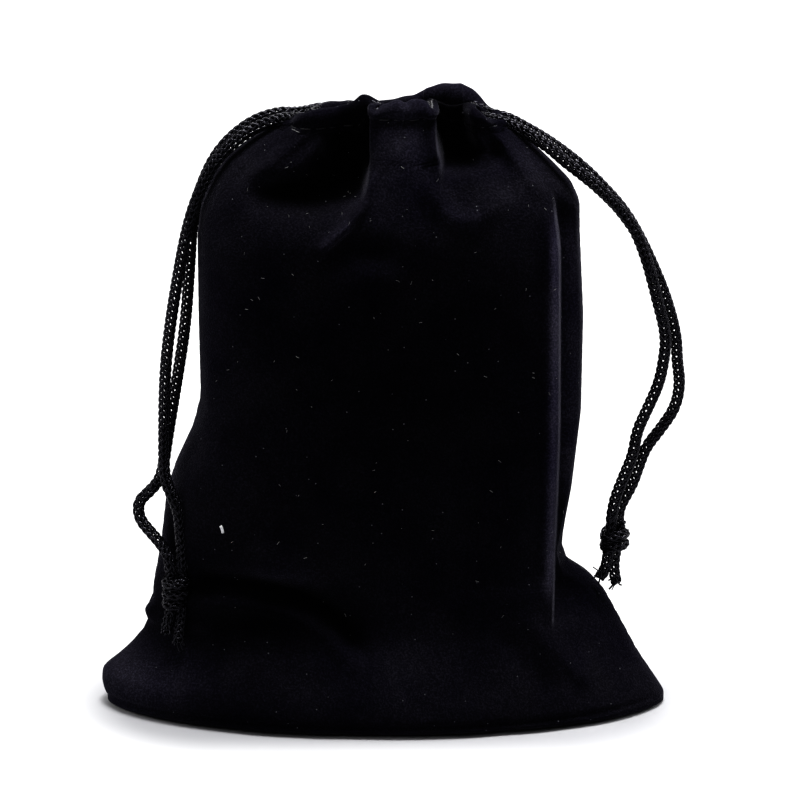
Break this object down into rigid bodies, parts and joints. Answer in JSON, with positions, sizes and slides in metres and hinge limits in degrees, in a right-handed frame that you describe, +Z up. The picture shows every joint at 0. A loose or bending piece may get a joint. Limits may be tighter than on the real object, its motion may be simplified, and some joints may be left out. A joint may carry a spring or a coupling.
{
  "type": "drawstring pouch",
  "caption": "Small standing velvet pouch, gathered at the mouth by two opposed knitted drawstrings whose ends are knotted together at each side.",
  "frame": {"origin": "middle of the base, on the surface that the pouch stands on", "axes": "+Z up towards the mouth, -Y towards the front, +X to the right as seen from the front; the channels run along X"},
  "size_m": [0.1161, 0.041, 0.1279],
  "materials": {
    "velvet": "short-pile velvet, near black with a blue-violet sheen",
    "cord": "knitted nylon, black, slightly glossy",
    "thread": "black polyester sewing thread"
  },
  "bodies": {
    "bag": {"front_panel": "velvet", "back_panel": "velvet", "front_channel": "velvet", "back_channel": "velvet", "left_side_seam": "thread", "right_side_seam": "thread", "bottom_seam": "thread", "front_hem_stitching": "thread", "back_hem_stitching": "thread"},
    "left_drawstring": {"left_cord_loop": "cord", "left_front_lead": "cord", "left_back_lead": "cord"},
    "left_tails": {"left_front_tail": "cord", "left_back_tail": "cord", "left_knot": "cord", "left_cut_ends": "cord"},
    "right_drawstring": {"right_cord_loop": "cord", "right_front_lead": "cord", "right_back_lead": "cord"},
    "right_tails": {"right_front_tail": "cord", "right_back_tail": "cord", "right_knot": "cord", "right_cut_ends": "cord"}
  },
  "joints": [
    {"name": "left_draw", "type": "slide", "parent": "bag", "child": "left_drawstring", "axis": [-1, 0, 0], "range_m": [0, 0.003]},
    {"name": "left_swing", "type": "hinge", "parent": "left_drawstring", "child": "left_tails", "pos_m": [-0.0335, -0.0015, 0.115], "axis": [0, 1, 0], "range_deg": [0, 75]},
    {"name": "right_draw", "type": "slide", "parent": "bag", "child": "right_drawstring", "axis": [1, 0, 0], "range_m": [0, 0.003]},
    {"name": "right_swing", "type": "hinge", "parent": "right_drawstring", "child": "right_tails", "pos_m": [0.041, -0.00085, 0.1112], "axis": [0, -1, 0], "range_deg": [0, 75]}
  ]
}
